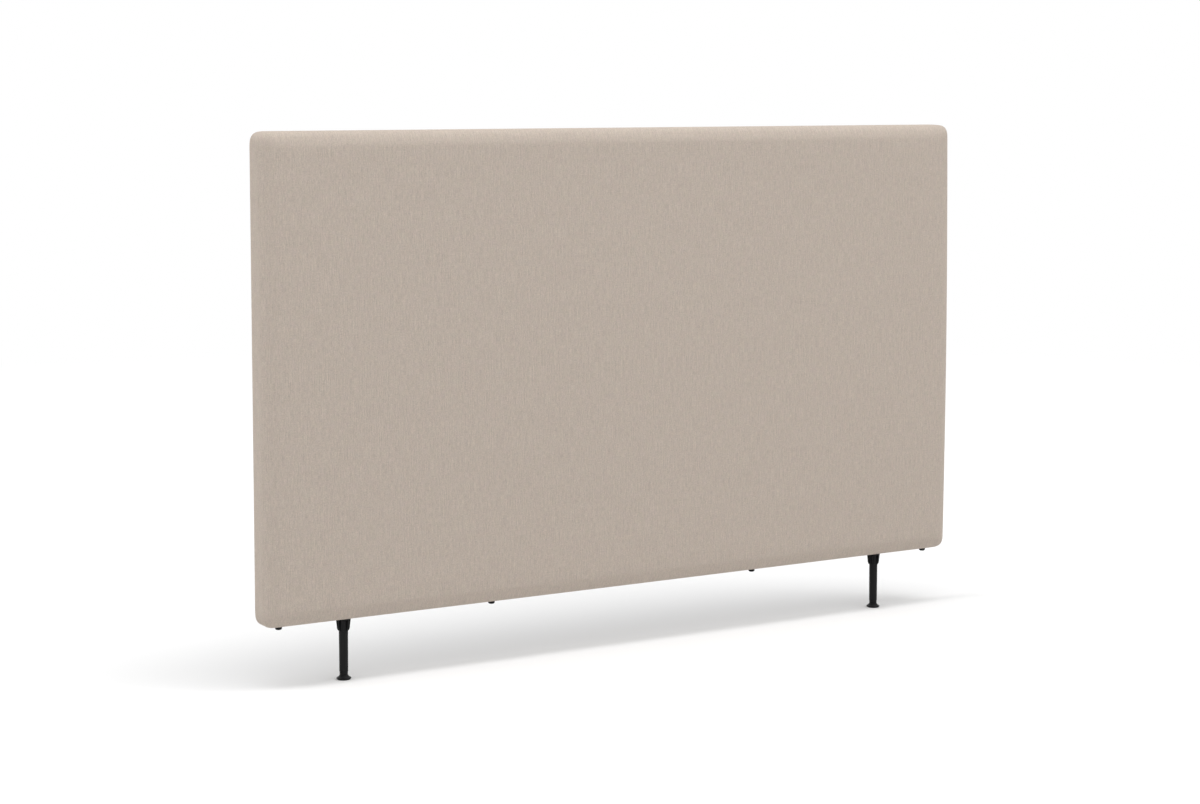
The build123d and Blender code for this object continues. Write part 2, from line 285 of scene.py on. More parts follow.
swell = height_crown * (1 - (2 * z / panel_height) ** 2)
swell += width_crown * (1 - (2 * x / panel_width) ** 2)
hold = 1 - np.clip((depth - front_radius) / (side_depth - front_radius), 0, 1)
shaped = np.stack([x, edge_y + depth - swell * hold, z + panel_mid_z], axis=1)
write_points(cover, shaped)
print("cover spans", shaped.min(axis=0).round(4), "to", shaped.max(axis=0).round(4))


# %% [markdown]
# The weave has to follow the cloth round the edges, so each point also keeps the
# place it had on the flat cut cloth, in metres. The front keeps its own plane, and
# the rings unfold outwards from it. This becomes the UV map of the cover.

# %% Keep the flat cloth as a UV map
ring_length = np.concatenate([side_steps, side_depth + hem_steps])
cut_x, cut_z = boxed[:, 0].copy(), boxed[:, 2] - panel_mid_z
out_x = np.sign(cut_x) * np.maximum(np.abs(cut_x) - panel_width / 2 + corner_radius, 0)
out_z = np.sign(cut_z) * np.maximum(np.abs(cut_z) - panel_height / 2 + corner_radius, 0)
out_size = np.maximum(np.hypot(out_x, out_z), 1e-9)
cut_x[rings] += (out_x / out_size)[rings] * ring_length[ring_index]
cut_z[rings] += (out_z / out_size)[rings] * ring_length[ring_index]

corner_point = np.empty(len(cover.data.loops), int)
cover.data.loops.foreach_get("vertex_index", corner_point)
cut_map = cover.data.uv_layers.new(name="cut_cloth")
cut_map.data.foreach_set("uv", np.stack([cut_x, cut_z], axis=1)[corner_point].ravel())
print("cut cloth:", np.ptp(cut_x).round(3), "x", np.ptp(cut_z).round(3), "m")

# %% [markdown]
# Stretched cloth over a soft filling never lies on a perfect surface. A short
# cloth simulation presses the sheet softly from inside while its hem is held. It
# starts a little smaller than the finished shape, and how far a point may move is
# limited gently, so that the panel keeps its measured size. Averaging the movement
# along the edges takes out creases of one cell, which stuffed cloth doesn't show,
# and rounding it to 0.01 mm keeps two runs as good as the same.

# %% Swell the cover with a cloth simulation
start_inside = 1.0 * MM
largest_move = 1.6 * MM
last_frame = 12
smoothing_rounds = 12
free_depth = 12 * MM  # in front of this depth nothing holds the cloth
held_within = 30 * MM  # and over this length the hold grows to its full strength


def averaged(piece, values, rounds):
    """Mixes the values of each point with those of its neighbours."""
    ends = np.empty(len(piece.data.edges) * 2, int)
    piece.data.edges.foreach_get("vertices", ends)
    first, second = ends.reshape(-1, 2).T
    neighbours = np.bincount(ends, minlength=len(values))
    for _ in range(rounds):
        sums = [
            np.bincount(first, column[second], len(values)) + np.bincount(second, column[first], len(values))
            for column in values.T]
        values = (values + np.stack(sums, axis=1) / neighbours[:, None]) / 2
    return values


def swell_by_simulation(piece, held):
    points = read_points(piece)
    start = points - point_normals(piece) * (start_inside * (1 - held))[:, None]
    write_points(piece, start)
    pins = piece.vertex_groups.new(name="held")
    for level in np.unique(held.round(2)):
        pins.add(np.flatnonzero(held.round(2) == level).tolist(), float(level), "REPLACE")
    cloth = piece.modifiers.new("Cloth", "CLOTH")
    cloth.settings.quality = 6
    cloth.settings.mass = 0.4
    cloth.settings.tension_stiffness = 20
    cloth.settings.compression_stiffness = 20
    cloth.settings.bending_stiffness = 2
    cloth.settings.use_pressure = True
    cloth.settings.uniform_pressure_force = 0.25
    cloth.settings.effector_weights.gravity = 0
    cloth.settings.vertex_group_mass = "held"
    cloth.point_cache.frame_start, cloth.point_cache.frame_end = 1, last_frame
    for frame_number in range(1, last_frame + 1):
        bpy.context.scene.frame_set(frame_number)
    only(piece)
    bpy.ops.object.modifier_apply(modifier=cloth.name)
    bpy.context.scene.frame_set(1)
    move = read_points(piece) - start
    length = np.maximum(np.linalg.norm(move, axis=1), 1e-9)
    move *= (largest_move * np.tanh(length / largest_move) / length)[:, None]
    write_points(piece, start + averaged(piece, move, smoothing_rounds).round(5))
    return length


held = np.clip((depth - free_depth) / held_within, 0, 1)
moved = swell_by_simulation(cover, held)
print("the sheet moved up to", (moved.max() / MM).round(1), "mm before the limit")

# %% [markdown]
# Under the cover lie a sheet of wadding and a foam pad. Both take the cover's own
# swollen shape, moved inwards along its normals by what lies above them, so the
# layers follow each other as they do on the real panel.

# %% Wadding and foam under the cover
cover_thickness = 1.2 * MM
layer_gap = 0.3 * MM
wadding_thickness = 4.5 * MM


def layer_inside(name, distance, last_y):
    """A copy of the cover's sheet, moved inwards and cut off behind a given depth."""
    layer = duplicate(cover, name)
    layer.vertex_groups.clear()
    write_points(layer, read_points(layer) - point_normals(layer) * distance)
    only(layer)
    bpy.ops.object.mode_set(mode="EDIT")
    bpy.ops.mesh.select_mode(type="VERT")
    bpy.ops.mesh.select_all(action="DESELECT")
    bpy.ops.object.mode_set(mode="OBJECT")
    layer.data.vertices.foreach_set("select", read_points(layer)[:, 1] > last_y)
    bpy.ops.object.mode_set(mode="EDIT")
    bpy.ops.mesh.delete(type="VERT")
    bpy.ops.object.mode_set(mode="OBJECT")
    return layer


wadding = layer_inside("wadding_sheet", cover_thickness + layer_gap, cover_high.y - back_radius)
apply_modifier(wadding, "SOLIDIFY", thickness=wadding_thickness, offset=-1)

foam_inset = cover_thickness + wadding_thickness + 2 * layer_gap
spare_depth = 0.5 * MM  # the last row of foam is added in front of the board
foam = layer_inside("foam_slab", foam_inset, foam_back - spare_depth)
only(foam)
bpy.ops.object.mode_set(mode="EDIT")
bpy.ops.mesh.select_all(action="DESELECT")
bpy.ops.mesh.select_non_manifold(extend=False, use_boundary=True)
bpy.ops.mesh.extrude_edges_move()
bpy.ops.mesh.edge_face_add()
bpy.ops.object.mode_set(mode="OBJECT")
foam_points = read_points(foam)
back_row = np.arange(len(foam_points)) >= len(foam_points) - ring_size
foam_points[back_row, 1] = foam_back
write_points(foam, foam_points)
for layer in (wadding, foam):
    tidy_normals(layer)
print("wadding and foam:", len(wadding.data.polygons), len(foam.data.polygons), "faces")

# %% [markdown]
# At the corners of the back the cloth has too much length for the shorter inner
# edge, and the upholsterer lays it in small pleats. A few soft ridges that run in
# from each corner show them. The cover then gets its real thickness.

# %% Pleats and thickness of the cover
pleat_centre = 57 * MM  # the pleats of a corner fan out from a point this far inside it
pleat_height = 1.0 * MM
pleat_fold = 2 * MM  # they rise within this distance of the back
pleat_end, pleat_fade = 20 * MM, 6 * MM  # and are flat again under the lining

points = read_points(cover)
across = np.maximum(np.abs(points[:, 0]) - panel_width / 2 + pleat_centre, 0)
along = np.maximum(np.abs(points[:, 2] - panel_mid_z) - panel_height / 2 + pleat_centre, 0)
corner_angle = np.arctan2(along, across)
in_corner = (across > 0) & (along > 0)
lay_in = np.clip((points[:, 1] - cover_high.y + pleat_fold) / pleat_fold, 0, 1) * in_corner
lay_in *= np.clip((pleat_end - inset) / pleat_fade, 0, 1)
ridge = np.abs(np.sin(corner_angle * 10)) ** 0.6 * np.sin(corner_angle * 2)
points[:, 1] += lay_in * ridge * pleat_height
write_points(cover, points)
apply_modifier(cover, "SOLIDIFY", thickness=cover_thickness, offset=-1)
tidy_normals(cover)
only(cover)
bpy.ops.object.shade_smooth()
print("cover:", len(cover.data.polygons), "faces")

# %% [markdown]
# A thin black cloth closes the back. Its edge is turned under and stapled, and
# between the timbers nothing carries it, so it sags a little into the frame. The
# staples pull small hollows into its edge. Their places are read from the CAD
# staples, which are taken apart in a copy and removed again.

# %% Black lining on the back
def centres_of(node_name):
    """Centres of the separate solids in one CAD node."""
    only(duplicate(nodes[node_name], "loose_solids"))
    bpy.ops.object.mode_set(mode="EDIT")
    bpy.ops.mesh.select_all(action="SELECT")
    bpy.ops.mesh.remove_doubles(threshold=0.000001)
    bpy.ops.mesh.separate(type="LOOSE")
    bpy.ops.object.mode_set(mode="OBJECT")
    parts = list(bpy.context.selected_objects)
    corners = [(read_points(part).min(axis=0), read_points(part).max(axis=0)) for part in parts]
    for part in parts:
        bpy.data.objects.remove(part)
    return [Vector((low + high) / 2) for low, high in corners]


lining_staple_places = centres_of("lining_staples")
lining_width, lining_height = lining_high.x - lining_low.x, lining_high.z - lining_low.z
lining_cells = (126, 72)
lining_corner = 17 * MM  # its corners are pulled in over this length
timber_sag, sag_reach = 2.4 * MM, 60 * MM
inner_drop, edge_band = 0.5 * MM, 20 * MM  # the edge lies higher, on its own fold
dimple_depth, dimple_width = 0.3 * MM, 9 * MM

start_fresh()
bpy.ops.mesh.primitive_grid_add(
    x_subdivisions=lining_cells[0], y_subdivisions=lining_cells[1], size=2,
    location=(0, 0, panel_mid_z), rotation=(-math.pi / 2, 0, 0))
lining = settle(named("lining_cloth"))
points = read_points(lining)
flat_x = points[:, 0] * lining_width / 2
flat_z = (points[:, 2] - panel_mid_z) * lining_height / 2
past_x = np.maximum(np.abs(flat_x) - lining_width / 2 + lining_corner, 0)
past_z = np.maximum(np.abs(flat_z) - lining_height / 2 + lining_corner, 0)
rounder = np.maximum(past_x, past_z) / np.maximum(np.hypot(past_x, past_z), 1e-9)
pull_in = np.where((past_x > 0) & (past_z > 0), rounder, 1)
flat_x -= np.sign(flat_x) * past_x * (1 - pull_in)
flat_z -= np.sign(flat_z) * past_z * (1 - pull_in)

timber_faces = [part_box(name) for name in nodes if name.startswith("frame_")]
clear_of_timber = np.full(len(points), np.inf)
for low, high in timber_faces:
    gap_x = np.maximum(np.maximum(low.x - flat_x, flat_x - high.x), 0)
    gap_z = np.maximum(np.maximum(low.z - panel_mid_z - flat_z, flat_z - high.z + panel_mid_z), 0)
    clear_of_timber = np.minimum(clear_of_timber, np.hypot(gap_x, gap_z))
sag = timber_sag * (1 - np.exp(-clear_of_timber / sag_reach))
from_edge = np.minimum(lining_width / 2 - np.abs(flat_x), lining_height / 2 - np.abs(flat_z))
rest_depth = inner_drop * np.clip((from_edge - edge_band) / edge_band, 0, 1)
dimple = np.zeros(len(points))
for place in lining_staple_places:
    distance = np.hypot(flat_x - place.x, flat_z + panel_mid_z - place.z)
    dimple = np.maximum(dimple, np.exp(-(distance / dimple_width) ** 2))
points[:, 0], points[:, 2] = flat_x, flat_z + panel_mid_z
points[:, 1] = lining_high.y - rest_depth - sag - dimple_depth * dimple
write_points(lining, points)
sheet_count = len(points)
print("lining sags", ((rest_depth + sag).max() / MM).round(2), "mm, staples:", len(lining_staple_places))

# %% [markdown]
# The turned edge is a second layer of cloth folded under the first. The border of
# the sheet is extruded round a small fold and back under itself.

# %% Turned edge of the lining
felt_thickness = 0.3 * MM
fold_width = 12 * MM
only(lining)
bpy.ops.object.mode_set(mode="EDIT")
bpy.ops.mesh.select_all(action="DESELECT")
bpy.ops.mesh.select_non_manifold(extend=False, use_boundary=True)
for _ in range(3):
    bpy.ops.mesh.extrude_edges_move(TRANSFORM_OT_translate={"value": (0, -0.2 * MM, 0)})
bpy.ops.transform.resize(value=(1 - 2 * fold_width / lining_width, 1, 1 - 2 * fold_width / lining_height))
bpy.ops.object.mode_set(mode="OBJECT")
points = read_points(lining)
points[sheet_count:, 1] = np.minimum(points[sheet_count:, 1], lining_high.y - felt_thickness)
ring = 2 * sum(lining_cells)
points[-2 * ring:, 1] = lining_low.y + 0.1 * MM
write_points(lining, points)
apply_modifier(lining, "SOLIDIFY", thickness=felt_thickness, offset=-1)
tidy_normals(lining)
only(lining)
bpy.ops.object.shade_smooth()
print("lining:", len(lining.data.polygons), "faces")

# %% [markdown]
# The legs, feet and glides are moulded, round pieces. Each starts as a small disc
# and is drawn out ring by ring along its profile, the way a lathe follows a
# template. A Screw modifier could spin the profile as well, but here every ring can
# be followed as it is made. Rounded edges are short arcs in the profile.

# %% Helpers for turned pieces
sharp_angle = math.radians(35)  # a fold wider than this stays a crisp edge


def arc(centre_r, centre_z, radius, first, last, steps):
    """Points of an arc in a profile, with angles in degrees from the outward side."""
    angles = np.radians(np.linspace(first, last, steps + 1))
    return [(centre_r + radius * math.cos(a), centre_z + radius * math.sin(a)) for a in angles]


def turned(name, profile, x, y, segments=64):
    """Turns a profile of radius and height round a vertical axis.

    The ends are closed by flat discs, or a profile that ends where it starts makes a ring.
    """
    start_fresh()
    (radius, height), rest = profile[0], profile[1:]
    fill = "NOTHING" if profile[0] == profile[-1] else "NGON"
    bpy.ops.mesh.primitive_circle_add(
        vertices=segments, radius=radius * MM, fill_type=fill, location=(x, y, height * MM))
    bpy.ops.object.mode_set(mode="EDIT")
    bpy.ops.mesh.select_all(action="SELECT")
    for next_radius, next_height in rest:
        bpy.ops.mesh.extrude_region_move(
            TRANSFORM_OT_translate={"value": (0, 0, (next_height - height) * MM)})
        ratio = next_radius / radius
        bpy.ops.transform.resize(value=(ratio, ratio, 1))
        radius, height = next_radius, next_height
    bpy.ops.object.mode_set(mode="OBJECT")
    piece = tidy_normals(settle(named(name)))
    only(piece)
    bpy.ops.object.shade_smooth_by_angle(angle=sharp_angle)
    return piece


def joined(name, pieces):
    start_fresh()
    for piece in pieces:
        piece.select_set(True)
    bpy.context.view_layer.objects.active = pieces[0]
    bpy.ops.object.join()
    return named(name)


def moved_copy(piece, shift, name):
    twin = duplicate(piece, name)
    write_points(twin, read_points(twin) + np.array(shift))
    return twin


# %% [markdown]
# One leg is a tube with a wide flange on top, held by eight thin ribs. The tube is
# hollow for the foot's thread and has a socket for the stud that joins it to the
# panel. A rib is a small sheet whose outer edge follows a curve, made thick and
# softened, then copied round the tube.

# %% Legs with ribs under the flange
leg_low, leg_high = leg_box["left"]
top, bottom = leg_high.z / MM, leg_low.z / MM
bore = 4.15  # radius of the holes round the studs, in mm as the profiles are
neck = [  # the hollow curve under the flange
    (10.0 + 3.0 * (1 - math.sin(a)), top - 2.9 - 3.0 * (1 - math.cos(a)))
    for a in np.radians(np.linspace(15, 90, 6))]
leg_profile = (
    [(bore, top - 23.5), (bore, top), (16.0, top)]
    + arc(16.0, top - 0.7, 0.5, 90, 0, 3)
    + arc(16.0, top - 2.4, 0.5, 0, -90, 3)
    + [(13.0, top - 2.9)]
    + neck
    + [(10.0, top - 30), (9.8, (top + bottom) / 2), (9.6, bottom + 6)]
    + arc(9.0, bottom + 0.6, 0.6, 0, -90, 3)
    + [(7.1, bottom), (7.1, top - 34)]
)
left_leg = turned("leg_moulding_left", leg_profile, leg_x["left"], leg_y)

rib_top, rib_bend, rib_foot = 2.5, 18.0, 29.0  # mm below the leg's top
rib_root, rib_wide, rib_mid, rib_end = 8.6, 16.0, 14.2, 9.6  # radii in mm
start_fresh()
bpy.ops.mesh.primitive_grid_add(x_subdivisions=4, y_subdivisions=16, size=2, rotation=(math.pi / 2, 0, 0))
rib = settle(named("rib"))
points = read_points(rib)
rib_z = top - rib_top - (1 - points[:, 2]) / 2 * (rib_foot - rib_top)
below = top - rib_z
taper = rib_wide - (rib_wide - rib_mid) * (below - rib_top) / (rib_bend - rib_top)
past_bend = np.clip((below - rib_bend) / (rib_foot - rib_bend), 0, 1)
run_out = rib_mid - (rib_mid - rib_end) * (1 - np.sqrt(1 - past_bend ** 2))
reach = np.where(below < rib_bend, taper, run_out)
points[:, 0] = (rib_root + (reach - rib_root) * (points[:, 0] + 1) / 2) * MM
points[:, 2] = rib_z * MM
write_points(rib, points)
apply_modifier(rib, "SOLIDIFY", thickness=2.2 * MM, offset=0)
apply_modifier(rib, "BEVEL", width=0.6 * MM, segments=3, limit_method="ANGLE")
tidy_normals(rib)
only(rib)
bpy.ops.object.shade_smooth_by_angle(angle=sharp_angle)

rib_count = 8
ribs = []
for number in range(rib_count):
    twin = duplicate(rib, "rib")
    only(twin)
    twin.rotation_euler.z = math.radians(360 / rib_count * (number + 0.5))
    bpy.ops.object.transform_apply(location=False, rotation=True, scale=False)
    write_points(twin, read_points(twin) + np.array([leg_x["left"], leg_y, 0]))
    ribs.append(twin)
bpy.data.objects.remove(rib)
left_leg = joined("leg_moulding_left", [left_leg, *ribs])
to_right = (leg_x["right"] - leg_x["left"], 0, 0)
right_leg = moved_copy(left_leg, to_right, "leg_moulding_right")
print("one leg:", len(left_leg.data.polygons), "faces")

# %% [markdown]
# The foot stands on a wide rim and narrows in a hollow cone to its neck. Above it
# sits a ring with twelve shallow flutes, which a hand grips to turn the foot up or
# down. Both are bored for the threaded stud.

# %% Adjustable feet
pad_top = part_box("foot_pad_left")[1].z / MM
pad_profile = (
    [(12.6, 0.5), (12.6, 0.0), (13.6, 0.0)]
    + arc(13.6, 0.8, 0.8, -90, -35, 3)
    + arc(14.6, 2.4, 1.4, -35, 70, 6)
    + [(13.9, 4.4), (12.4, 5.3), (11.1, 6.4), (10.2, 7.7), (9.8, 8.7)]
    + arc(9.1, pad_top - 0.5, 0.5, 20, 90, 3)
    + [(bore, pad_top), (bore, 2.55)]
)
left_pad = turned("foot_moulding_left", pad_profile, leg_x["left"], leg_y)

collar_low, collar_high = (corner.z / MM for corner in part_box("foot_collar_left"))
collar_profile = (
    [(bore, collar_low), (8.3, collar_low)]
    + arc(8.4, collar_low + 0.7, 0.7, -90, 0, 3)
    + arc(8.4, collar_high - 0.7, 0.7, 0, 90, 3)
    + [(bore, collar_high), (bore, collar_low)]
)
left_collar = turned("grip_ring_left", collar_profile, leg_x["left"], leg_y, segments=96)

flute_count, flute_depth = 12, 0.45 * MM
leg_axis = np.array([leg_x["left"], leg_y, 0])
points = read_points(left_collar) - leg_axis
turn = np.arctan2(points[:, 1], points[:, 0])
outward = np.hypot(points[:, 0], points[:, 1])
on_rim = np.clip((outward - 8.2 * MM) / (0.8 * MM), 0, 1)  # the bore stays round
flute = on_rim * flute_depth * (0.5 + 0.5 * np.cos(flute_count * turn)) ** 0.5
points[:, :2] *= (1 - flute / outward)[:, None]
write_points(left_collar, points + leg_axis)

feet = {"left": (left_pad, left_collar)}
feet["right"] = tuple(
    moved_copy(piece, to_right, name)
    for piece, name in zip(feet["left"], ("foot_moulding_right", "grip_ring_right")))
print("foot:", [len(piece.data.polygons) for piece in feet["left"]], "faces")

# %% [markdown]
# Four glides keep the panel off the floor when it is tipped while being carried.
# They are low round buttons, and one is turned and then copied to the other places.

# %% Glides under the panel
glide_places = centres_of("glides")
glide_low, glide_high = (corner.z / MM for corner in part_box("glides"))
glide_profile = (
    [(1.6, glide_high - 6.6), (1.6, glide_high), (6.7, glide_high)]
    + arc(6.8, glide_high - 0.7, 0.6, 80, 0, 3)
    + arc(3.7, glide_low + 3.9, 3.8, 0, -75, 7)
    + [(3.6, glide_low), (1.2, glide_low)]
)
first_place = glide_places[0]
first_glide = turned("glide_buttons", glide_profile, first_place.x, first_place.y)
other_glides = [
    moved_copy(first_glide, (place.x - first_place.x, 0, 0), "glide") for place in glide_places[1:]]
glide_buttons = joined("glide_buttons", [first_glide, *other_glides])
print("glides at", [round(place.x, 3) for place in glide_places])

# %% [markdown]
# Studs and pins reach the timber through the cover and the wadding. On the real
# panel small holes are cut in the cloth there, hidden by the flange and the
# glides. A Boolean modifier with one set of short plugs cuts the same holes here.

# %% Cut the cloth for studs and pins
stud_hole, pin_hole = 5.0 * MM, 2.1 * MM  # radii
holes = [(place_x, stud_hole) for place_x in leg_x.values()]
holes += [(place.x, pin_hole) for place in glide_places]
plugs = []
for place_x, hole_radius in holes:
    start_fresh()
    bpy.ops.mesh.primitive_cylinder_add(
        vertices=24, radius=hole_radius, depth=24 * MM, location=(place_x, leg_y, underside_z))
    plugs.append(settle(named("plug")))
plugs = joined("plugs", plugs)
for layer in (cover, wadding):
    before = len(layer.data.polygons)
    apply_modifier(layer, "BOOLEAN", operation="DIFFERENCE", object=plugs, solver="EXACT")
    print(layer.name, "faces before and after the holes:", before, len(layer.data.polygons))
bpy.data.objects.remove(plugs)

# %% [markdown]
# Every material is built from nodes. These few helpers add a node, set its inputs
# and link it in one call, so that the cells below read like a list of what each
# surface does.

# %% Helpers for materials
def srgb(red, green, blue):
    """A colour as seen on screen, from 0 to 255, turned into Blender's linear values."""
    channels = []
    for value in (red / 255, green / 255, blue / 255):
        channels.append(value / 12.92 if value <= 0.04045 else ((value + 0.055) / 1.055) ** 2.4)
    return (*channels, 1.0)


def put(tree, kind, inputs=None, **settings):
    """Adds a node, with settings on the node and values or links on its inputs."""
    node = tree.nodes.new(kind)
    for key, value in settings.items():
        setattr(node, key, value)
    for key, value in (inputs or {}).items():
        if isinstance(value, bpy.types.NodeSocket):
            tree.links.new(value, node.inputs[key])
        else:
            node.inputs[key].default_value = value
    return node


def maths(tree, operation, first, second=0.0):
    return put(tree, "ShaderNodeMath", {0: first, 1: second}, operation=operation).outputs[0]


def plus(tree, first, second):
    return maths(tree, "ADD", first, second)


def times(tree, first, second):
    return maths(tree, "MULTIPLY", first, second)


def between(tree, value, low, high, out_low=0.0, out_high=1.0):
    inputs = {"Value": value, "From Min": low, "From Max": high, "To Min": out_low, "To Max": out_high}
    return put(tree, "ShaderNodeMapRange", inputs).outputs[0]


def mixed(tree, factor, first, second, blend="MIX"):
    node = put(tree, "ShaderNodeMix", {0: factor, 6: first, 7: second}, data_type="RGBA", blend_type=blend)
    return node.outputs[2]


def dimmed(tree, colour, amount):
    return put(tree, "ShaderNodeVectorMath", {0: colour, "Scale": amount}, operation="SCALE").outputs[0]


def stretched(tree, vector, scale):
    return put(tree, "ShaderNodeMapping", {"Vector": vector, "Scale": scale}).outputs[0]


def noise(tree, vector, scale, detail=2.0, rough=0.5):
    inputs = {"Vector": vector, "Scale": scale, "Detail": detail, "Roughness": rough}
    return put(tree, "ShaderNodeTexNoise", inputs).outputs[0]


def new_effect(name, inputs):
    """A node group that will give a surface its colour, roughness and height."""
    group = bpy.data.node_groups.new(name, "ShaderNodeTree")
    group.interface.new_socket(name="Vector", in_out="INPUT", socket_type="NodeSocketVector")
    for label, value in inputs:
        kind = "NodeSocketColor" if isinstance(value, tuple) else "NodeSocketFloat"
        group.interface.new_socket(name=label, in_out="INPUT", socket_type=kind).default_value = value
    return group, group.nodes.new("NodeGroupInput").outputs


def give(group, colour, rough, height):
    """Adds the three outputs of an effect and links what they give."""
    result = group.nodes.new("NodeGroupOutput")
    for label, value, kind in (
            ("Colour", colour, "Color"), ("Roughness", rough, "Float"), ("Height", height, "Float")):
        group.interface.new_socket(name=label, in_out="OUTPUT", socket_type="NodeSocket" + kind)
        group.links.new(value, result.inputs[label])
    return group


def new_material(name, effect, bump, coordinates="Object", effect_inputs=None, **shader):
    """A material that feeds an effect group into a Principled BSDF."""
    material = bpy.data.materials.new(name)
    material.use_nodes = True
    tree = material.node_tree
    tree.nodes.clear()
    if coordinates == "Object":
        place = put(tree, "ShaderNodeTexCoord").outputs["Object"]
    else:
        place = put(tree, "ShaderNodeUVMap", uv_map=coordinates).outputs["UV"]
    group = put(tree, "ShaderNodeGroup", node_tree=effect)
    tree.links.new(place, group.inputs["Vector"])
    for key, value in (effect_inputs or {}).items():
        group.inputs[key].default_value = value
    bump_inputs = {"Height": group.outputs["Height"], "Distance": bump, "Strength": 1.0}
    normal = put(tree, "ShaderNodeBump", bump_inputs).outputs["Normal"]
    inputs = {"Base Color": group.outputs["Colour"], "Roughness": group.outputs["Roughness"]}
    principled = put(tree, "ShaderNodeBsdfPrincipled", {**inputs, "Normal": normal})
    for key, value in shader.items():
        principled.inputs[key.replace("_", " ")].default_value = value
    output = put(tree, "ShaderNodeOutputMaterial")
    tree.links.new(principled.outputs[0], output.inputs[0])
    return material


# %% [markdown]
# The upholstery cloth is a plain weave of slightly uneven yarns. Two sine waves make
# the crossing yarns, and a checker decides which one lies on top. Yarns that are
# thicker in places show as faint upright streaks, which three noises make in a long,
# a middle and a short length. The dye varies a little over larger areas. Modelled
# yarns would take millions of faces, so the material draws them.

# %% The woven cover
def weave_effect():
    group, given = new_effect("woven_cloth", [
        ("Base", srgb(184, 172, 161)), ("Yarn width", 0.0011), ("Streaks", 0.056), ("Mottle", 0.03)])
    place = given["Vector"]
    parts = put(group, "ShaderNodeSeparateXYZ", {0: place}).outputs
    wander = times(group, noise(group, stretched(group, place, (60, 60, 60)), 1.0), 1.2)
    across, along = (
        plus(group, maths(group, "DIVIDE", part, given["Yarn width"]), wander) for part in parts[:2])
    warp, weft = (
        maths(group, "ABSOLUTE", maths(group, "SINE", times(group, yarns, math.pi)))
        for yarns in (across, along))
    cells = put(group, "ShaderNodeCombineXYZ", {0: across, 1: along}).outputs[0]
    over = put(group, "ShaderNodeTexChecker", {"Vector": cells, "Scale": 1.0}).outputs["Fac"]
    height = put(group, "ShaderNodeMix", {0: over, 2: warp, 3: weft}, data_type="FLOAT").outputs[0]

    across_per_metre = 430
    streaks = 0.0
    for along_per_metre, weight in ((22, 0.56), (85, 0.65), (330, 0.88)):
        upright = noise(group, stretched(group, place, (across_per_metre, along_per_metre, 1)), 1.0, 0)
        streaks = plus(group, streaks, times(group, maths(group, "SUBTRACT", upright, 0.5), weight))
    shade = plus(group, 1.0, times(group, streaks, times(group, given["Streaks"], 6)))
    dye = put(group, "ShaderNodeTexNoise", {"Vector": place, "Scale": 70.0, "Detail": 3.0}).outputs["Color"]
    dye = mixed(group, given["Mottle"], (0.5, 0.5, 0.5, 1), dye)
    tinted = mixed(group, 1.0, given["Base"], dye, "OVERLAY")
    # Painted light and shade: the crowns of the yarns are made a little lighter and the hollows between them
    # a little darker.
    shade = times(group, shade, plus(group, 0.93, times(group, height, 0.1)))
    rough = between(group, streaks, -0.3, 0.3, 0.86, 0.97)
    raised = plus(group, times(group, height, 0.7), times(group, streaks, 0.3))
    return give(group, dimmed(group, tinted, shade), rough, raised)


woven_cloth = weave_effect()
cover_cloth = new_material(
    "beige_upholstery", woven_cloth, 0.25 * MM, coordinates="cut_cloth",
    effect_inputs={"Base": srgb(200, 187, 175)}, Specular_IOR_Level=0.25,
    Sheen_Weight=0.3, Sheen_Roughness=0.4, Sheen_Tint=srgb(232, 218, 202))
print("cover cloth:", cover_cloth.name, "with", len(woven_cloth.nodes), "nodes in its effect")

# %% [markdown]
# The hidden layers are worth a true finish as well, since the part may be opened or
# cut. Wadding is a loose web of white fibres, foam is a fine open sponge, and the
# lining is a thin black felt of bonded fibres.

# %% Wadding, foam and lining
def fibre_effect():
    group, given = new_effect("bonded_fibres", [("Base", (0.8, 0.8, 0.8, 1)), ("Contrast", 0.15)])
    place = given["Vector"]
    first = noise(group, stretched(group, place, (900, 900, 90)), 1.0, 3, 0.6)
    second = noise(group, stretched(group, place, (110, 500, 800)), 1.0, 3, 0.6)
    patches = noise(group, place, 25.0, 3)
    fibres = maths(group, "MAXIMUM", first, second)
    uneven = times(group, maths(group, "SUBTRACT", patches, 0.5), 0.6)
    amount = plus(group, maths(group, "SUBTRACT", fibres, 0.55), uneven)
    shade = plus(group, 1.0, times(group, amount, times(group, given["Contrast"], 4)))
    rough = between(group, fibres, 0.4, 0.7, 0.8, 0.95)
    return give(group, dimmed(group, given["Base"], shade), rough, fibres)


def sponge_effect():
    group, given = new_effect("open_sponge", [("Base", srgb(236, 226, 190))])
    place = given["Vector"]
    cells = put(group, "ShaderNodeTexVoronoi", {"Vector": place, "Scale": 700.0}).outputs["Distance"]
    ageing = noise(group, place, 6.0, 3)
    pores = between(group, cells, 0.1, 0.6)
    toned = mixed(group, times(group, ageing, 0.35), given["Base"], srgb(214, 190, 132))
    # Painted shade: the open cells of the sponge are made darker towards their middles, where the hollows
    # are.
    colour = mixed(group, pores, mixed(group, 0.3, toned, srgb(150, 130, 90)), toned)
    return give(group, colour, between(group, ageing, 0, 1, 0.85, 0.95), pores)


bonded_fibres = fibre_effect()
wadding_fibre = new_material(
    "white_wadding", bonded_fibres, 0.4 * MM, effect_inputs={"Base": srgb(238, 238, 234)})
lining_felt = new_material(
    "black_lining", bonded_fibres, 0.12 * MM,
    effect_inputs={"Base": srgb(38, 38, 40), "Contrast": 0.3}, Specular_IOR_Level=0.3)
foam_sponge = new_material("cream_foam", sponge_effect(), 0.3 * MM)
print("soft materials:", wadding_fibre.name, lining_felt.name, foam_sponge.name)

# %% [markdown]
# Sawn softwood shows light early wood and darker late wood in long bands. Rails and
# uprights share one effect, and the grain is turned to run along each timber. Noise
# stretched along the grain never repeats, as a picture of wood would.

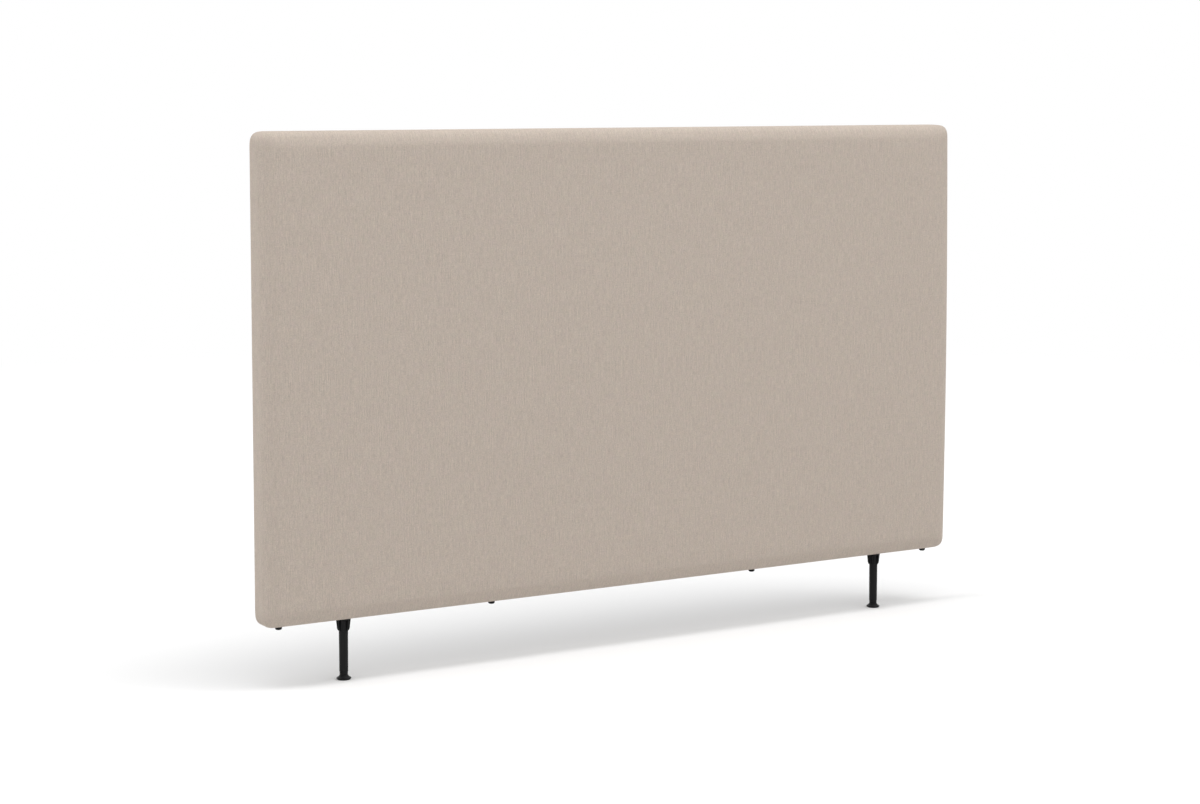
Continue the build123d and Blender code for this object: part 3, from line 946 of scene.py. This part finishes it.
# %% Timber and hardboard
def wood_effect():
    group, given = new_effect("softwood_grain", [
        ("Light", srgb(222, 190, 142)), ("Dark", srgb(182, 136, 86))])
    place = given["Vector"]
    wander = noise(group, stretched(group, place, (1.6, 9, 9)), 1.0, 3)
    parts = put(group, "ShaderNodeSeparateXYZ", {0: place}).outputs
    growth = plus(group, times(group, parts[2], 130), times(group, parts[1], 60))
    bands = maths(group, "FRACT", plus(group, growth, times(group, wander, 7)))
    late = maths(group, "POWER", between(group, bands, 0.35, 1.0), 2.2)
    pores = noise(group, stretched(group, place, (30, 1500, 1500)), 1.0, 2)
    colour = mixed(group, late, given["Light"], given["Dark"])
    colour = mixed(group, between(group, pores, 0.5, 0.75, 0, 0.3), colour, srgb(150, 108, 66))
    raised = plus(group, times(group, late, 0.5), times(group, pores, 0.6))
    return give(group, colour, between(group, late, 0, 1, 0.72, 0.58), raised)


def pressed_effect():
    group, given = new_effect("pressed_fibre", [("Base", srgb(132, 92, 58))])
    place = given["Vector"]
    flecks = noise(group, stretched(group, place, (260, 260, 420)), 1.0, 4, 0.7)
    patches = noise(group, place, 9.0, 3)
    darker = mixed(group, 0.5, given["Base"], srgb(92, 60, 36))
    colour = mixed(group, between(group, flecks, 0.35, 0.7), darker, given["Base"])
    colour = mixed(group, between(group, patches, 0.4, 0.7, 0, 0.35), colour, srgb(150, 112, 74))
    return give(group, colour, between(group, flecks, 0.3, 0.7, 0.5, 0.75), flecks)


def turned_upright(material):
    """Turns the grain so that it runs up the timber instead of along it."""
    tree = material.node_tree
    place = next(node for node in tree.nodes if node.type == "TEX_COORD").outputs["Object"]
    group = next(node for node in tree.nodes if node.type == "GROUP")
    turn = put(tree, "ShaderNodeMapping", {"Vector": place, "Rotation": (0, math.pi / 2, 0)})
    tree.links.new(turn.outputs[0], group.inputs["Vector"])
    return material


softwood_grain = wood_effect()
rail_wood = new_material("rail_softwood", softwood_grain, 0.15 * MM)
upright_wood = turned_upright(new_material("upright_softwood", softwood_grain, 0.15 * MM))
board_fibre = new_material("brown_hardboard", pressed_effect(), 0.1 * MM)
print("wooden materials:", rail_wood.name, upright_wood.name, board_fibre.name)

# %% [markdown]
# Staples are bare steel wire and the screws are zinc plated. Both are metal with a
# soft, uneven gloss. The legs, feet and glides are black plastic from a mould with
# a fine spark-eroded grain, rubbed a little smoother where they are handled.

# %% Metal and plastic
def metal_effect():
    group, given = new_effect("worn_metal", [("Base", srgb(190, 192, 196)), ("Gloss", 0.32)])
    place = given["Vector"]
    clouds = noise(group, place, 180.0, 3)
    scratches = noise(group, stretched(group, place, (2500, 2500, 300)), 1.0, 2)
    colour = mixed(group, between(group, clouds, 0.4, 0.75, 0, 0.35), given["Base"], srgb(140, 142, 146))
    rough = plus(group, given["Gloss"], between(group, clouds, 0.3, 0.7, -0.06, 0.12))
    return give(group, colour, rough, scratches)


def moulded_effect():
    group, given = new_effect("moulded_grain", [("Base", srgb(22, 22, 23))])
    place = given["Vector"]
    grain = noise(group, place, 2200.0, 2)
    rubbed = noise(group, stretched(group, place, (60, 60, 25)), 1.0, 3)
    dust = noise(group, place, 350.0, 3, 0.7)
    colour = mixed(group, between(group, dust, 0.62, 0.85, 0, 0.12), given["Base"], srgb(84, 82, 79))
    return give(group, colour, between(group, rubbed, 0.3, 0.7, 0.36, 0.52), grain)


worn_metal = metal_effect()
staple_wire = new_material("staple_wire", worn_metal, 0.02 * MM, effect_inputs={"Gloss": 0.38}, Metallic=1.0)
zinc_plate = new_material(
    "zinc_plate", worn_metal, 0.02 * MM, effect_inputs={"Base": srgb(205, 207, 210)}, Metallic=1.0)
black_moulding = new_material("black_moulding", moulded_effect(), 0.03 * MM, Specular_IOR_Level=0.15)
print("hard materials:", staple_wire.name, zinc_plate.name, black_moulding.name)

# %% [markdown]
# Each piece now takes its material and its place on a moving body, and the CAD node it
# stands for is hidden. The CAD nodes that stay in view, or inside the panel, get their finish
# through their own material slots.

# %% Dress the pieces
def dress(piece, material, body, slot_name, *stands_for):
    piece.data.materials.clear()
    piece.data.materials.append(material)
    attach(piece, body)
    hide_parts(*stands_for)


dress(cover, cover_cloth, "panel", "fabric_beige", "fabric_cover")
dress(wadding, wadding_fibre, "panel", "wadding_white", "wadding")
dress(foam, foam_sponge, "panel", "foam_cream", "foam_pad")
dress(lining, lining_felt, "panel", "lining_black", "back_lining")
dress(glide_buttons, black_moulding, "panel", "plastic_black", "glides")
for side, leg in (("left", left_leg), ("right", right_leg)):
    pad, collar = feet[side]
    dress(leg, black_moulding, "panel", "plastic_black", f"leg_{side}")
    dress(pad, black_moulding, f"{side}_foot", "plastic_black", f"foot_pad_{side}")
    dress(collar, black_moulding, f"{side}_foot_screw", "plastic_black", f"foot_collar_{side}")

finishes = {
    "rail": rail_wood, "stile": upright_wood, "upright": upright_wood, "board_staples": staple_wire,
    "cover_staples": staple_wire, "lining_staples": staple_wire, "front_board": board_fibre,
    "stud": zinc_plate, "insert": zinc_plate, "nut": zinc_plate, "pin": zinc_plate,
}
finished = []
for name, piece in nodes.items():
    finish = next((material for key, material in finishes.items() if key in name), None)
    if finish is not None:
        for slot in piece.material_slots:
            slot.material = finish
        finished.append(name)
print(len(finished), "CAD nodes keep their shape and take a finish, of", len(nodes))

# %% [markdown]
# The floor and the backdrop are one pale surface. It is brighter to the camera than
# to the light that bounces from it, which keeps the background white and the cloth
# in its own colour. A few metres away, where the lamp's light thins out, the camera
# sees the floor fade into the white backdrop, so that no horizon shows.

# %% Floor and surroundings
def seen_directly(tree):
    """1 for camera, glossy and transmission rays, 0 for light that bounces."""
    rays = put(tree, "ShaderNodeLightPath").outputs
    seen = maths(tree, "MAXIMUM", rays["Is Camera Ray"], rays["Is Glossy Ray"])
    return maths(tree, "MAXIMUM", seen, rays["Is Transmission Ray"])


fade_start, fade_end = 2.5, 6.0  # metres from the middle of the floor
start_fresh()
bpy.ops.mesh.primitive_plane_add(size=28, location=(0, 0, 0))
floor = named("studio_floor")
floor_paint = bpy.data.materials.new("pale_floor")
floor_paint.use_nodes = True
tree = floor_paint.node_tree
tree.nodes.clear()
seen = seen_directly(tree)
paint = mixed(tree, seen, (0.66, 0.66, 0.66, 1), (0.93, 0.93, 0.93, 1))
surface = put(
    tree, "ShaderNodeBsdfPrincipled", {"Base Color": paint, "Roughness": 0.9, "Specular IOR Level": 0.0})
backdrop = put(tree, "ShaderNodeEmission", {"Color": (1, 1, 1, 1), "Strength": 1.0})
on_floor = put(tree, "ShaderNodeTexCoord").outputs["Object"]
distance = put(tree, "ShaderNodeVectorMath", {0: on_floor}, operation="LENGTH").outputs["Value"]
fade = maths(tree, "MULTIPLY", seen, between(tree, distance, fade_start, fade_end))
blend = put(tree, "ShaderNodeMixShader", {0: fade, 1: surface.outputs[0], 2: backdrop.outputs[0]})
tree.links.new(blend.outputs[0], put(tree, "ShaderNodeOutputMaterial").inputs[0])
floor.data.materials.append(floor_paint)

world = bpy.data.worlds.new("studio")
bpy.context.scene.world = world
world.use_nodes = True
tree = world.node_tree
tree.nodes.clear()
seen = seen_directly(tree)
direction = put(tree, "ShaderNodeTexCoord").outputs["Generated"]
rise = maths(tree, "ABSOLUTE", put(tree, "ShaderNodeSeparateXYZ", {0: direction}).outputs[2])
walls = between(tree, rise, 0.0, 0.7, 1.0, 0.54)
strength = put(tree, "ShaderNodeMix", {0: seen, 2: walls, 3: 1.0}, data_type="FLOAT").outputs[0]
sky = put(tree, "ShaderNodeBackground", {"Color": (1, 1, 1, 1), "Strength": strength})
tree.links.new(sky.outputs[0], put(tree, "ShaderNodeOutputWorld").inputs[0])
print(floor.name, "fades to white from", fade_start, "to", fade_end, "m from the middle")

# %% [markdown]
# One long softbox hangs high above the panel, a little in front and to the left. It
# brightens the top edge and leaves a narrow soft shadow on the floor. The camera
# repeats the photograph's view: its place, lens and small shift were worked out from
# the panel's corners.

# %% Light and camera
key_data = bpy.data.lights.new("overhead_softbox", "AREA")
key_data.shape = "RECTANGLE"
key_data.size, key_data.size_y = 44.0, 11.0
key_data.energy = 7400
softbox = bpy.data.objects.new("overhead_softbox", key_data)
bpy.context.scene.collection.objects.link(softbox)
softbox.location = (-1.5, -4.1, 30)
softbox.rotation_euler = Vector(softbox.location).to_track_quat("Z", "Y").to_euler()

camera_data = bpy.data.cameras.new("camera")
camera_data.sensor_width = 36
camera_data.lens = 69.0
camera_data.shift_y = -0.11
camera = bpy.data.objects.new("camera", camera_data)
bpy.context.scene.collection.objects.link(camera)
camera.location = (-2.6313, -4.5180, 1.2773)
camera.rotation_euler = (math.radians(90 - 4.551), 0, -math.radians(29.495))
bpy.context.scene.camera = camera
bpy.context.scene.view_settings.view_transform = "Standard"
print("lamp:", key_data.energy, "W, lens:", camera_data.lens, "mm, shift:", round(camera_data.shift_y, 3))
